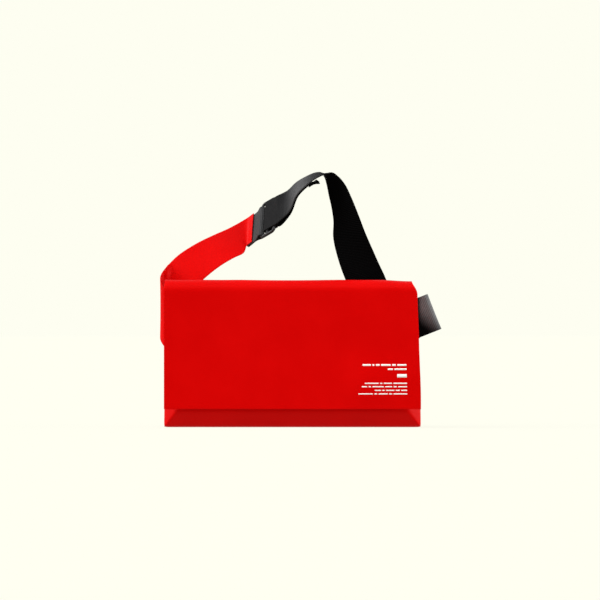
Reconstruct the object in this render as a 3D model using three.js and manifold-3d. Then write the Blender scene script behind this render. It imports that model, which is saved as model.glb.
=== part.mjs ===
// A flap bag with one shoulder strap: a shallow pouch of coated fabric, closed by a flap that folds
// down over the front. The strap is coated fabric on one side and ribbed webbing on the other, and
// the two meet at a three-bar slider.
//
// Units are millimetres. +Z is up, the flap faces -Y, and the origin is the middle of the underside
// of the base, on which the bag stands.
import * as THREE from 'three';
import { mergeVertices } from 'three/addons/utils/BufferGeometryUtils.js';
import Module from 'manifold-3d';

const wasm = await Module();
wasm.setup();

// ---------------------------------------------------------------- driving dimensions
const BAG_WIDTH = 340;
const BAG_HEIGHT = 191; // top of the back panel, where the flap starts
const BAG_DEPTH = 42; // back face to front face of the pouch
const BASE_DEPTH = 26; // the flat strip that the bag stands on
const SLOPE_HEIGHT = 22; // the front panel slopes back to the base below this height
const SLOPE_WIDTH = 17; // the front panel slopes back to the sides within this width
const MOUTH_DROP = 4; // the mouth's edge lies this far under the top of the back panel
const SHEET = 1; // coated fabric
const GAP = 0.3; // clearance between pieces that touch

const FLAP_BOTTOM = 24; // height of the flap's lower edge
const FLAP_CROWN = 3; // the flap's top rises this much over the back edge
const FLAP_CORNER = 15; // radius of the flap's fold at the top front
const FLAP_CLEARANCE = 3; // room between the front panel and the flap for the closure

const CLOSURE_LENGTH = 90; // hook and loop strips
const CLOSURE_WIDTH = 25;
const CLOSURE_THICKNESS = 1;
const CLOSURE_HEIGHT = 60; // middle of the strips over the base
const CLOSURE_OFFSET = 95; // middle of each strip from the middle of the bag

const HEM_HEIGHT = 20; // stiffened edge inside the mouth

const STRAP_WIDTH = 50;
const WEBBING = 1.4;
const SPLIT_OVER_BAG = 8; // the strap swings back this far over the bag, just over the flap
const SPLIT_GAP = 1;
const STAND_OFF = 0.8; // how far a flat strap end stays off the back panel

const RED_FOLD_RADIUS = 9; // coated fabric folds wide
const RED_FOLD_OUT = 6; // the strap's fold stands out this far at the left of the bag
const RED_FOLD_DROP = 33; // middle of the fold, under the top of the bag
const RED_ANGLE = 50; // degrees, the anchored end's rise to the left
const RED_ANCHORED = 74; // length between the stitched end and the fold

const WEBBING_FOLD_RADIUS = 4.6; // webbing folds tight
const WEBBING_LOOP_RADIUS = 5.4;
const WEBBING_LOOP_OUT = 18; // middle of the loop, out from the right of the bag
const WEBBING_LOOP_DROP = 38; // and under the top of the bag
const WEBBING_LOOP_ANGLE = 21.7; // degrees, the loop's rise to the right
const WEBBING_ANCHORED = 68; // length between the stitched end and the loop
const WEBBING_LEG_ANGLE = 67; // degrees, the fall of the strap behind the bag

const STITCH_HEIGHT = 0.5; // thread standing over the strap
const STITCH_LINE = 1.2;
const STITCH_INSET = 5;
const STITCH_BOX = 38; // length of the stitched box along the strap

const SLIDER_THICKNESS = 4;
const SLIDER_BAR = 4;
const SLIDER_PLAY = 2.2; // room at each edge of the strap in the slider's slots
const SLIDER_END = 3.5; // frame past the ends of the slots
const SLIDER_CORNER = 7;
const SLOT_CORNER = 1.5;
const SLIDER_SHARE = 0.188; // the slider lies this share of the half width left of the middle

const LOOP_LENGTH = 28; // the slider's webbing loop, from its bar to its end behind the coated strap
const LOOP_NECK = 10; // where the loop's two layers come together
const LOOP_SWING = 8; // degrees, the loop hangs back from the slider's plane
const RED_END = 16; // the coated strap ends this far before the slider's bar
const TAIL_STATIONS = 3; // the tail follows this many stations of the arch
const TAIL_DROP = 0.3; // room between the strap and the tail past the slider
const TAIL_SPREAD = 2.5; // more room at each station, because the tail hangs away
const TAIL_DRIFT = 2.5; // and drifts sideways by this much
const TAIL_TWIST = 0.08; // room for the arch's twist, for each millimetre of the strap's width
const TAIL_HEM = 12;

// ---------------------------------------------------------------- derived places
const HALF_WIDTH = BAG_WIDTH / 2;
const BACK = BASE_DEPTH / 2;
const FRONT = BACK - BAG_DEPTH;
const SLOPE_BACK = -BASE_DEPTH / 2; // where the slopes end, at the base and at the sides
const MOUTH = BAG_HEIGHT - MOUTH_DROP;
const STRAP_SPLIT = BAG_HEIGHT + SPLIT_OVER_BAG;
const FLAP_FACE = FRONT - FLAP_CLEARANCE - SHEET;
const STRAP_BACK = BACK + WEBBING / 2 + STAND_OFF; // middle of a strap end that lies on the back panel
const HALF_STRAP = STRAP_WIDTH / 2;
const LAYER = SLIDER_THICKNESS / 2 + GAP + WEBBING / 2; // webbing that lies on the slider
const SLOT_WIDTH = 2 * (LAYER + WEBBING / 2 + GAP); // two turns of webbing pass each other in a slot
const SLOT_LENGTH = STRAP_WIDTH + 2 * SLIDER_PLAY;
const SLIDER_WIDTH = 3 * SLIDER_BAR + 2 * SLOT_WIDTH; // along the strap
const SLIDER_LENGTH = SLOT_LENGTH + 2 * SLIDER_END; // across the strap
const BAR_LINE = SLIDER_WIDTH / 2 - SLIDER_BAR / 2; // middle of an outer bar of the slider
const LOOP_PINCH = WEBBING / 2 + GAP / 2; // the loop's two layers meet behind the coated strap
const RED_OVER_LOOP = LOOP_PINCH + WEBBING / 2 + 3 * GAP + SHEET / 2;
const LOOP_RADIUS = Math.SQRT1_2 * SLIDER_BAR + GAP + WEBBING / 2 + 0.1; // round the square bar
const TAIL_START = BAR_LINE + 5;

// ---------------------------------------------------------------- finishes
const coatedFabric = new THREE.MeshStandardMaterial({ color: 0xd8100c, roughness: 0.42, metalness: 0 });
const blackWebbing = new THREE.MeshStandardMaterial({ color: 0x151517, roughness: 0.85, metalness: 0 });
const blackPlastic = new THREE.MeshStandardMaterial({ color: 0x0c0c0e, roughness: 0.3, metalness: 0 });
const closureBlack = new THREE.MeshStandardMaterial({ color: 0x1b1b1d, roughness: 0.95, metalness: 0 });
const redThread = new THREE.MeshStandardMaterial({ color: 0xb00d0a, roughness: 0.7, metalness: 0 });
const blackThread = new THREE.MeshStandardMaterial({ color: 0x101012, roughness: 0.7, metalness: 0 });

const bag = new THREE.Group();

function addPiece(name, geometry, material) {
  const mesh = new THREE.Mesh(geometry, material);
  mesh.name = name;
  bag.add(mesh);
  return mesh;
}

// ---------------------------------------------------------------- solids
function toSolid(geometry) {
  const bare = geometry.clone();
  bare.deleteAttribute('normal');
  bare.deleteAttribute('uv');
  const merged = mergeVertices(bare, 1e-4);
  return new wasm.Manifold(new wasm.Mesh({
    numProp: 3,
    vertProperties: new Float32Array(merged.attributes.position.array),
    triVerts: new Uint32Array(merged.index.array),
  }));
}

function fromSolid(solid) {
  const mesh = solid.getMesh();
  const geometry = new THREE.BufferGeometry();
  geometry.setAttribute('position', new THREE.BufferAttribute(new Float32Array(mesh.vertProperties), 3));
  geometry.setIndex(new THREE.BufferAttribute(new Uint32Array(mesh.triVerts), 1));
  geometry.computeVertexNormals();
  return geometry;
}

function box(low, high) {
  const size = new THREE.Vector3().subVectors(high, low);
  const middle = new THREE.Vector3().addVectors(low, high).multiplyScalar(0.5);
  return new THREE.BoxGeometry(size.x, size.y, size.z).translate(middle.x, middle.y, middle.z);
}

// Outline of a sheet that follows a path of 2-D points, half its thickness to each side.
function sheetOutline(path, thickness) {
  const left = [];
  const right = [];
  path.forEach((point, i) => {
    const before = path[Math.max(i - 1, 0)];
    const after = path[Math.min(i + 1, path.length - 1)];
    const arriving = point.clone().sub(before).normalize();
    const leaving = after.clone().sub(point).normalize();
    if (i === 0) arriving.copy(leaving);
    if (i === path.length - 1) leaving.copy(arriving);
    const along = arriving.clone().add(leaving).normalize();
    const mitre = thickness / 2 / along.dot(arriving);
    const normal = new THREE.Vector2(-along.y, along.x).multiplyScalar(mitre);
    left.push(point.clone().add(normal));
    right.push(point.clone().sub(normal));
  });
  return new THREE.Shape([...left, ...right.reverse()]);
}

// A folded sheet: the path lies in the plane of axes a and b, and the sheet runs along a x b.
function foldedSheet(path, thickness, from, to, place) {
  const geometry = new THREE.ExtrudeGeometry(sheetOutline(path, thickness), {
    depth: to - from,
    bevelEnabled: false,
    curveSegments: 1,
  });
  geometry.translate(0, 0, from);
  return geometry.applyMatrix4(place);
}

const basis = (a, b, c, origin = new THREE.Vector3()) => new THREE.Matrix4()
  .makeBasis(a, b, c)
  .setPosition(origin);
const X = new THREE.Vector3(1, 0, 0);
const Y = new THREE.Vector3(0, 1, 0);
const Z = new THREE.Vector3(0, 0, 1);
const acrossBag = basis(Y, Z, X); // path in Y and Z, sheet along X
const upBag = basis(X, Y, Z); // path in X and Y, sheet along Z

function arc(centre, radius, fromDegrees, toDegrees, steps) {
  const points = [];
  for (let i = 0; i <= steps; i += 1) {
    const angle = THREE.MathUtils.degToRad(fromDegrees + (toDegrees - fromDegrees) * (i / steps));
    points.push(new THREE.Vector2(
      centre.x + radius * Math.cos(angle),
      centre.y + radius * Math.sin(angle),
    ));
  }
  return points;
}

const at = (a, b) => new THREE.Vector2(a, b);

// ---------------------------------------------------------------- the pouch
addPiece('back_panel', box(
  new THREE.Vector3(-HALF_WIDTH, BACK - SHEET, 0),
  new THREE.Vector3(HALF_WIDTH, BACK, BAG_HEIGHT),
), coatedFabric);

// Front, lower slope and base are one folded sheet, cut at the sides to meet the gussets.
const half = SHEET / 2;
const inner = SHEET + GAP;
const slopeLength = Math.hypot(SLOPE_WIDTH, SLOPE_BACK - FRONT);
const slopeShift = (inner * slopeLength) / (SLOPE_BACK - FRONT);
// Where a line beside the gusset's slope meets the line beside its side wall.
const trimBack = FRONT + ((SLOPE_WIDTH + slopeShift - inner) / SLOPE_WIDTH) * (SLOPE_BACK - FRONT);
const frontPath = [
  at(BACK - inner, half),
  at(SLOPE_BACK, half),
  at(FRONT + half, SLOPE_HEIGHT),
  at(FRONT + half, MOUTH),
];
const betweenGussets = new THREE.Shape([
  at(-HALF_WIDTH + SLOPE_WIDTH + slopeShift, FRONT - 1),
  at(-HALF_WIDTH + SLOPE_WIDTH + slopeShift, FRONT),
  at(-HALF_WIDTH + inner, trimBack),
  at(-HALF_WIDTH + inner, BACK),
  at(HALF_WIDTH - inner, BACK),
  at(HALF_WIDTH - inner, trimBack),
  at(HALF_WIDTH - SLOPE_WIDTH - slopeShift, FRONT),
  at(HALF_WIDTH - SLOPE_WIDTH - slopeShift, FRONT - 1),
]);
const frontSheet = toSolid(foldedSheet(frontPath, SHEET, -HALF_WIDTH, HALF_WIDTH, acrossBag));
const frontTrim = toSolid(new THREE.ExtrudeGeometry(betweenGussets, {
  depth: BAG_HEIGHT + 2,
  bevelEnabled: false,
}).translate(0, 0, -1));
addPiece('front_panel', fromSolid(frontSheet.intersect(frontTrim)), coatedFabric);

// Each gusset is one folded sheet: the side wall and the slope beside the front panel.
const overSlope = new THREE.Shape([
  at(FRONT - 1, SLOPE_HEIGHT),
  at(FRONT, SLOPE_HEIGHT),
  at(SLOPE_BACK, 0),
  at(BACK, 0),
  at(BACK, MOUTH),
  at(FRONT - 1, MOUTH),
]);
for (const [side, sign] of [['left', -1], ['right', 1]]) {
  const path = [
    at(sign * (HALF_WIDTH - SLOPE_WIDTH), FRONT + half),
    at(sign * (HALF_WIDTH - half), SLOPE_BACK),
    at(sign * (HALF_WIDTH - half), BACK - inner),
  ];
  const sheet = toSolid(foldedSheet(path, SHEET, 0, MOUTH, upBag));
  const trim = toSolid(new THREE.ExtrudeGeometry(overSlope, {
    depth: BAG_WIDTH + 2,
    bevelEnabled: false,
  }).translate(0, 0, -HALF_WIDTH - 1).applyMatrix4(acrossBag));
  addPiece(`side_gusset_${side}`, fromSolid(sheet.intersect(trim)), coatedFabric);
}

const hemHalf = HALF_WIDTH - SLOPE_WIDTH - slopeShift - SHEET;
addPiece('mouth_hem', box(
  new THREE.Vector3(-hemHalf, FRONT + inner, MOUTH - HEM_HEIGHT),
  new THREE.Vector3(hemHalf, FRONT + inner + SHEET, MOUTH),
), coatedFabric);

// ---------------------------------------------------------------- the flap and its closure
const flapCorner = FLAP_CORNER - half;
const flapTop = BAG_HEIGHT + GAP + half;
const flapPath = [
  at(BACK, flapTop),
  ...arc(at(FLAP_FACE + half + flapCorner, flapTop + FLAP_CROWN - flapCorner), flapCorner, 90, 180, 8),
  at(FLAP_FACE + half, FLAP_BOTTOM),
];
addPiece('flap', foldedSheet(flapPath, SHEET, -HALF_WIDTH, HALF_WIDTH, acrossBag), coatedFabric);

for (const [side, sign] of [['left', -1], ['right', 1]]) {
  const strip = (outer, name) => addPiece(name, box(
    new THREE.Vector3(sign * CLOSURE_OFFSET - CLOSURE_LENGTH / 2, outer, CLOSURE_HEIGHT - CLOSURE_WIDTH / 2),
    new THREE.Vector3(
      sign * CLOSURE_OFFSET + CLOSURE_LENGTH / 2,
      outer + CLOSURE_THICKNESS,
      CLOSURE_HEIGHT + CLOSURE_WIDTH / 2,
    ),
  ), closureBlack);
  strip(FRONT - GAP - CLOSURE_THICKNESS, `loop_strip_${side}`);
  strip(FLAP_FACE + SHEET + GAP, `hook_strip_${side}`);
}

// ---------------------------------------------------------------- the strap
// A strap is a list of stations: its middle, and the unit direction across it times half its width.
const station = (middle, across, half_ = HALF_STRAP) => ({
  middle,
  across: across.clone().normalize().multiplyScalar(half_),
});
const across = (x, y, z) => new THREE.Vector3(x, y, z);

// A place on the strap's free course: how far it is behind the back panel and over the bag.
const overBag = (x, behind, rise) => new THREE.Vector3(x, BACK + behind, BAG_HEIGHT + rise);

// Flat stretch that leaves a place along a direction in the plane of the back panel.
function along(start, direction, length, acrossIt, half_ = HALF_STRAP) {
  const end = start.clone().addScaledVector(direction, length);
  return station(end, acrossIt, half_);
}

// A half turn about a fold line: the strap arrives along `arriving`, leaves on the other side of the
// fold, and moves by twice the radius towards `side`.
function halfTurn(start, arriving, foldLine, side, radius, steps) {
  const cosine = arriving.dot(foldLine);
  const forward = arriving.clone().addScaledVector(foldLine, -cosine).normalize();
  const sine = Math.sqrt(1 - cosine * cosine);
  const stations = [];
  for (let i = 0; i <= steps; i += 1) {
    const turn = (Math.PI * i) / steps;
    const middle = start.clone()
      .addScaledVector(foldLine, (cosine / sine) * radius * turn)
      .addScaledVector(forward, radius * Math.sin(turn))
      .addScaledVector(side, radius * (1 - Math.cos(turn)));
    stations.push(station(middle, foldLine, HALF_STRAP / sine));
  }
  return stations;
}

// A solid ribbon through its stations; `steps` more sections are set between each two of them.
function ribbon(stations, thickness, steps) {
  const middles = new THREE.CatmullRomCurve3(stations.map((s) => s.middle), false, 'centripetal');
  const edges = new THREE.CatmullRomCurve3(
    stations.map((s) => s.middle.clone().add(s.across)),
    false,
    'centripetal',
  );
  const count = (stations.length - 1) * steps;
  const corners = [];
  for (let i = 0; i <= count; i += 1) {
    const t = i / count;
    const middle = middles.getPoint(t);
    const reach = edges.getPoint(t).sub(middle);
    const tangent = middles.getTangent(t);
    const normal = tangent.clone().cross(reach).normalize().multiplyScalar(thickness / 2);
    corners.push(
      middle.clone().add(reach).add(normal),
      middle.clone().sub(reach).add(normal),
      middle.clone().sub(reach).sub(normal),
      middle.clone().add(reach).sub(normal),
    );
  }
  const triangles = [];
  const face = (a, b, c, d) => triangles.push(a, b, c, a, c, d);
  for (let i = 0; i < count; i += 1) {
    for (let k = 0; k < 4; k += 1) {
      const next = (k + 1) % 4;
      face(4 * i + k, 4 * i + next, 4 * i + 4 + next, 4 * i + 4 + k);
    }
  }
  face(3, 2, 1, 0);
  face(4 * count, 4 * count + 1, 4 * count + 2, 4 * count + 3);
  const geometry = new THREE.BufferGeometry().setFromPoints(corners);
  geometry.setIndex(triangles);
  geometry.computeVertexNormals();
  return geometry;
}

function cutAtSplit(solid, above) {
  const far = 600;
  const low = above ? STRAP_SPLIT + SPLIT_GAP / 2 : -far;
  const high = above ? far : STRAP_SPLIT - SPLIT_GAP / 2;
  return solid.intersect(toSolid(box(
    new THREE.Vector3(-far, -far, low),
    new THREE.Vector3(far, far, high),
  )));
}

// The slider's own directions: along the strap, across it, and out of its face.
const sliderMiddle = overBag(-SLIDER_SHARE * HALF_WIDTH, 42, 87);
const sliderAcross = across(0.05, 0.65, 0.758).normalize();
const sliderAlong = across(1, -0.72, 0.6);
sliderAlong.addScaledVector(sliderAcross, -sliderAlong.dot(sliderAcross)).normalize();
const sliderOut = sliderAlong.clone().cross(sliderAcross).normalize();
// The strap isn't centred in the slider: the webbing has slid to its upper end, the loop to its lower.
const slide = SLIDER_PLAY - GAP;
const webbingMiddle = sliderMiddle.clone().addScaledVector(sliderAcross, slide);
const loopBar = sliderMiddle.clone()
  .addScaledVector(sliderAcross, -slide)
  .addScaledVector(sliderAlong, -BAR_LINE);
const swing = THREE.MathUtils.degToRad(LOOP_SWING);
const loopAlong = sliderAlong.clone().multiplyScalar(Math.cos(swing))
  .addScaledVector(sliderOut, Math.sin(swing));
const loopFace = loopAlong.clone().cross(sliderAcross).normalize();
const inSlider = basis(sliderAlong, sliderOut, sliderAlong.clone().cross(sliderOut), webbingMiddle);
const inLoop = basis(loopAlong, loopFace, loopAlong.clone().cross(loopFace), loopBar);
const placed = (frame, a, o) => station(across(a, o, 0).applyMatrix4(frame), sliderAcross);

// The coated half: stitched to the back panel, folded about an upright line at the bag's left edge,
// and on to its end at the slider. Its rise is written in shares of the way from edge to slider.
const rising = (share, behind, rise, acrossIt) => station(
  overBag(THREE.MathUtils.lerp(-HALF_WIDTH, sliderMiddle.x, share), behind, rise),
  acrossIt,
);
const redRise = THREE.MathUtils.degToRad(RED_ANGLE);
const redLeaves = across(-Math.cos(redRise), 0, Math.sin(redRise));
const redAcross = across(Math.sin(redRise), 0, Math.cos(redRise));
const redFoldRun = Math.PI * RED_FOLD_RADIUS * Math.tan(redRise);
const redFoldStart = new THREE.Vector3(
  -HALF_WIDTH - RED_FOLD_OUT + RED_FOLD_RADIUS + SHEET / 2,
  BACK + SHEET / 2 + STAND_OFF,
  BAG_HEIGHT - RED_FOLD_DROP - redFoldRun / 2,
);
const redStations = [
  along(redFoldStart, redLeaves, -RED_ANCHORED, redAcross),
  along(redFoldStart, redLeaves, -RED_ANCHORED / 2, redAcross),
  along(redFoldStart, redLeaves, -6, Z, HALF_STRAP / Math.cos(redRise)),
  ...halfTurn(redFoldStart, redLeaves, Z, Y, RED_FOLD_RADIUS, 6),
  rising(0.167, 22, 9, across(-16, 8, 17)),
  rising(0.254, 25, 21, across(-16, 9, 15.5)),
  rising(0.413, 33, 37, across(-15.3, 12, 14.6)),
  rising(0.558, 41, 48, across(-14.5, 14, 14.5)),
  rising(0.695, 50, 57, across(-9, 16, 16.5)),
  placed(inLoop, -RED_END - 16, RED_OVER_LOOP),
  placed(inLoop, -RED_END - 8, RED_OVER_LOOP),
  placed(inLoop, -RED_END, RED_OVER_LOOP),
];

// The webbing half, from the slider over the top of the arch and down behind the bag, where it folds
// to the right, makes a loop past the bag's edge and comes back to its stitched end. The arch keeps
// its own shape, so its places are distances from the slider.
const arching = (past, behind, rise, acrossIt) => station(
  overBag(sliderMiddle.x + past, behind, rise),
  acrossIt,
);
const legFall = THREE.MathUtils.degToRad(WEBBING_LEG_ANGLE);
const legDown = across(Math.cos(legFall), 0, -Math.sin(legFall));
const loopRise = THREE.MathUtils.degToRad(WEBBING_LOOP_ANGLE);
const loopOut = across(Math.cos(loopRise), 0, Math.sin(loopRise));
const loopAcross = across(-Math.sin(loopRise), 0, Math.cos(loopRise));
const webbingFoldLine = legDown.clone().add(loopOut).normalize().negate();
const loopDepth = STRAP_BACK + 2 * WEBBING_LOOP_RADIUS;
const legDepth = loopDepth + 2 * WEBBING_FOLD_RADIUS;
const loopStart = new THREE.Vector3(HALF_WIDTH + WEBBING_LOOP_OUT, loopDepth, BAG_HEIGHT - WEBBING_LOOP_DROP)
  .addScaledVector(loopOut, -WEBBING_LOOP_RADIUS);
const legStart = overBag(sliderMiddle.x + 131, legDepth - BACK, 1);
const towardsPanel = Y.clone().negate();
// Where the falling leg meets the loop's line.
const legRun = (() => {
  const gap = loopStart.clone().sub(legStart);
  return (gap.x * loopOut.z - gap.z * loopOut.x) / (legDown.x * loopOut.z - legDown.z * loopOut.x);
})();
const foldCosine = legDown.dot(webbingFoldLine);
const foldAdvance = (Math.PI * WEBBING_FOLD_RADIUS * foldCosine) / Math.sqrt(1 - foldCosine ** 2);
const foldStart = legStart.clone()
  .addScaledVector(legDown, legRun)
  .addScaledVector(webbingFoldLine, -foldAdvance / 2);
const loopTurn = halfTurn(loopStart, loopOut, loopAcross, towardsPanel, WEBBING_LOOP_RADIUS, 8);
const loopEnd = loopTurn[loopTurn.length - 1].middle;
const archStations = [
  arching(26.5, 33, 109, across(-1, 20.5, 14)),
  arching(37.4, 34, 125.5, across(0, 23.4, 8.7)),
  arching(50.5, 36, 136, across(0, 24.3, 6)),
  arching(62.9, 37.5, 143, across(-0.3, 24.7, 4)),
  arching(71.9, 38, 145.5, across(-1.5, 24.8, 1.6)),
  arching(79.4, 38, 144, across(-4.5, 24.4, -2.4)),
  arching(85.5, 38, 136, across(-7.5, 23.5, -4.8)),
  arching(91.5, 36.5, 123, across(-10.6, 22, -7)),
  arching(96.9, 35, 108, across(-12.8, 21, -6.4)),
  arching(103, 33, 86.5, across(-16, 18.6, -4.5)),
  arching(107.6, 31, 64.3, across(-21.1, 13, -1.4)),
  arching(112.5, 29, 48, across(-23.5, 8, -1.5)),
  arching(121.9, 25, 22, across(-24, 2, -5)),
];
const legAcross = across(-Math.sin(legFall), 0, -Math.cos(legFall));
const webbingStations = [
  ...archStations,
  station(legStart, legAcross),
  along(legStart, legDown, legRun / 2, legAcross),
  ...halfTurn(foldStart, legDown, webbingFoldLine, towardsPanel, WEBBING_FOLD_RADIUS, 6),
  along(loopStart, loopOut, -24, loopAcross),
  ...loopTurn,
  along(loopEnd, loopOut, -5, loopAcross),
  along(loopEnd, loopOut, -WEBBING_ANCHORED / 2, loopAcross),
  along(loopEnd, loopOut, -WEBBING_ANCHORED, loopAcross),
];

const redStrap = toSolid(ribbon(redStations, SHEET, 3));
addPiece('red_strap_anchored', fromSolid(cutAtSplit(redStrap, false)), coatedFabric);
addPiece('red_strap_free', fromSolid(cutAtSplit(redStrap, true)), coatedFabric);

// The slider: a flat frame with two slots, so that three bars cross the strap.
const rounded = (halfA, halfB, r) => {
  const corners = [
    [halfA - r, halfB - r, 0], [-halfA + r, halfB - r, 90],
    [-halfA + r, -halfB + r, 180], [halfA - r, -halfB + r, 270],
  ];
  return corners.flatMap(([a, b, turn]) => arc(at(a, b), r, turn, turn + 90, 4));
};
const sliderShape = new THREE.Shape(rounded(SLIDER_WIDTH / 2, SLIDER_LENGTH / 2, SLIDER_CORNER));
const slotMiddle = (SLIDER_BAR + SLOT_WIDTH) / 2;
for (const sign of [-1, 1]) {
  const hole = rounded(SLOT_WIDTH / 2, SLOT_LENGTH / 2, SLOT_CORNER)
    .map((p) => at(p.x + sign * slotMiddle, p.y));
  sliderShape.holes.push(new THREE.Path(hole));
}
const sliderFace = basis(sliderAlong, sliderAcross, sliderOut, sliderMiddle);
addPiece('slider', new THREE.ExtrudeGeometry(sliderShape, {
  depth: SLIDER_THICKNESS,
  bevelEnabled: false,
}).translate(0, 0, -SLIDER_THICKNESS / 2).applyMatrix4(sliderFace), blackPlastic);

// Webbing round a bar of the slider, seen from the strap's edge: two layers and a half turn.
const loopPath = [
  at(-LOOP_LENGTH, LOOP_PINCH),
  at(-LOOP_NECK, LOOP_PINCH),
  ...arc(at(0, 0), LOOP_RADIUS, 108, -108, 10),
  at(-LOOP_NECK, -LOOP_PINCH),
  at(-LOOP_LENGTH, -LOOP_PINCH),
];
addPiece('slider_loop', foldedSheet(loopPath, WEBBING, -HALF_STRAP, HALF_STRAP, inLoop), blackWebbing);

const turnPath = [
  at(BAR_LINE + 5, LAYER),
  at(3, LAYER),
  ...arc(at(-SLIDER_BAR / 2, 0), LAYER, 90, 270, 8),
  at(3, -LAYER),
  at(TAIL_START - SPLIT_GAP, -LAYER),
];
const turn = toSolid(foldedSheet(turnPath, WEBBING, -HALF_STRAP, HALF_STRAP, inSlider));
const webbing = toSolid(ribbon([
  placed(inSlider, BAR_LINE + 1, LAYER),
  placed(inSlider, BAR_LINE + 6, LAYER),
  ...webbingStations,
], WEBBING, 2));
addPiece('webbing_free', fromSolid(cutAtSplit(webbing, true).add(turn)), blackWebbing);
addPiece('webbing_anchored', fromSolid(cutAtSplit(webbing, false)), blackWebbing);

// The free tail leaves the slider under the strap and follows the arch on its inner side.
const tailStations = [
  placed(inSlider, TAIL_START, -LAYER),
  placed(inSlider, TAIL_START + 6, -LAYER),
];
for (let i = 0; i < TAIL_STATIONS; i += 1) {
  const here = archStations[i];
  const before = i === 0 ? tailStations[1].middle : archStations[i - 1].middle;
  const alongHere = archStations[i + 1].middle.clone().sub(before);
  const inward = here.across.clone().cross(alongHere).normalize();
  const drop = 2 * WEBBING + STRAP_WIDTH * TAIL_TWIST + TAIL_DROP + i * TAIL_SPREAD;
  const middle = here.middle.clone()
    .addScaledVector(inward, drop)
    .addScaledVector(here.across, (TAIL_DRIFT * (i + 1)) / HALF_STRAP);
  tailStations.push(station(middle, here.across));
}
addPiece('webbing_tail', ribbon(tailStations, WEBBING, 2), blackWebbing);

// The tail's end is turned back on itself and stitched, so that it can't slip through the slider.
const tailEnd = tailStations[tailStations.length - 1];
const tailRun = tailEnd.middle.clone().sub(tailStations[tailStations.length - 2].middle).normalize();
const hemAcross = tailEnd.across.clone().normalize();
const hemOut = tailRun.clone().cross(hemAcross).normalize();
const hemRun = hemAcross.clone().cross(hemOut);
const hemFrame = basis(hemRun, hemAcross, hemOut, tailEnd.middle);
addPiece('tail_hem', new THREE.BoxGeometry(TAIL_HEM, STRAP_WIDTH, WEBBING)
  .translate(TAIL_HEM / 2 + GAP, 0, 0)
  .applyMatrix4(hemFrame), blackWebbing);

// ---------------------------------------------------------------- stitching
// A sewn box with a cross in it, standing a little over the strap that it holds.
function stitchedBox(length, width, frame) {
  const bar = (a, b) => {
    const run = b.clone().sub(a);
    const geometry = new THREE.BoxGeometry(run.length() + STITCH_LINE, STITCH_LINE, STITCH_HEIGHT);
    geometry.rotateZ(run.angle());
    return toSolid(geometry.translate((a.x + b.x) / 2, (a.y + b.y) / 2, STITCH_HEIGHT / 2));
  };
  const a = at(-length / 2, -width / 2);
  const b = at(length / 2, -width / 2);
  const c = at(length / 2, width / 2);
  const d = at(-length / 2, width / 2);
  const lines = [[a, b], [b, c], [c, d], [d, a], [a, c], [b, d]].map(([from, to]) => bar(from, to));
  const joined = lines.reduce((whole, line) => whole.add(line));
  return fromSolid(joined).applyMatrix4(frame);
}

const stitchWidth = STRAP_WIDTH - 2 * STITCH_INSET;
const stitchMiddle = STITCH_BOX / 2 + STITCH_INSET;
function stitchOnBack(name, stitchedEnd, direction, acrossIt, thickness, material) {
  const middle = stitchedEnd.clone().addScaledVector(direction, stitchMiddle);
  middle.y += thickness / 2 + GAP;
  const frame = basis(direction, acrossIt, direction.clone().cross(acrossIt), middle);
  addPiece(name, stitchedBox(STITCH_BOX, stitchWidth, frame), material);
}
stitchOnBack('red_strap_stitching', redStations[0].middle, redLeaves, redAcross, SHEET, redThread);
stitchOnBack(
  'webbing_stitching',
  webbingStations[webbingStations.length - 1].middle,
  loopOut,
  loopAcross.clone().negate(),
  WEBBING,
  blackThread,
);

export default bag;
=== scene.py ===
# %% [markdown]
# # A red flap bag with a shoulder strap
# This lesson builds the looks of a small bag around a finished frame. The bag is cut from coated
# fabric, the kind that truck covers are made of: a woven cloth with a thick, satin plastic skin.
# It has a flap that folds over the front, and one strap, half coated fabric and half webbing.
# The frame holds the sizes and the hinges, so every place below is read from it.

# %% Load the frame
import math
import bmesh
import bpy
import numpy as np
from mathutils import Matrix, Vector, noise


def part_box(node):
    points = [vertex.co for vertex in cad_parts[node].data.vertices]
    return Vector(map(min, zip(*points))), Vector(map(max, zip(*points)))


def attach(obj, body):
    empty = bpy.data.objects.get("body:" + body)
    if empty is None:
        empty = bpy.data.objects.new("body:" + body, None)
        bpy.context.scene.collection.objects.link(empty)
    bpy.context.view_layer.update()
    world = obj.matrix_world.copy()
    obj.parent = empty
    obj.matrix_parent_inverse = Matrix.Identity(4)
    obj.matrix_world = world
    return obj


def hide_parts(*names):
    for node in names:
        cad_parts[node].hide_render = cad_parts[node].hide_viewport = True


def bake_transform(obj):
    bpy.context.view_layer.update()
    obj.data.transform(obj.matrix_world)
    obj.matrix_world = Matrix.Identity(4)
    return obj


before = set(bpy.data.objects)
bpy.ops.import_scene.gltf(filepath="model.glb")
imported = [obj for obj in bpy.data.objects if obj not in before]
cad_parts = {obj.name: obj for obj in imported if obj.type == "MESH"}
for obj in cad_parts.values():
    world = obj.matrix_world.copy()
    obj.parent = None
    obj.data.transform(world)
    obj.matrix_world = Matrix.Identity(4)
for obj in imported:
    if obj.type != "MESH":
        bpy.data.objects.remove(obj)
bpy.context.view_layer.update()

MM = 0.001
scene = bpy.context.scene

# %% [markdown]
# ## The camera, the floor and the light
# The bag is seen straight on, from far away with a long lens, so that its edges stay parallel. The
# floor and the surroundings are the same warm white. Both glow a little, as a lit studio cove does,
# so the floor has no visible end and only a soft shadow under the bag.
# Four lights from the sides and above matter more than one from the front: they leave the front of
# the bag calm and make its slopes and the strap brighter. To anything but the camera the surroundings
# and the floor are dim, so that the red stays deep and no white veil lies over it.

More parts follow.
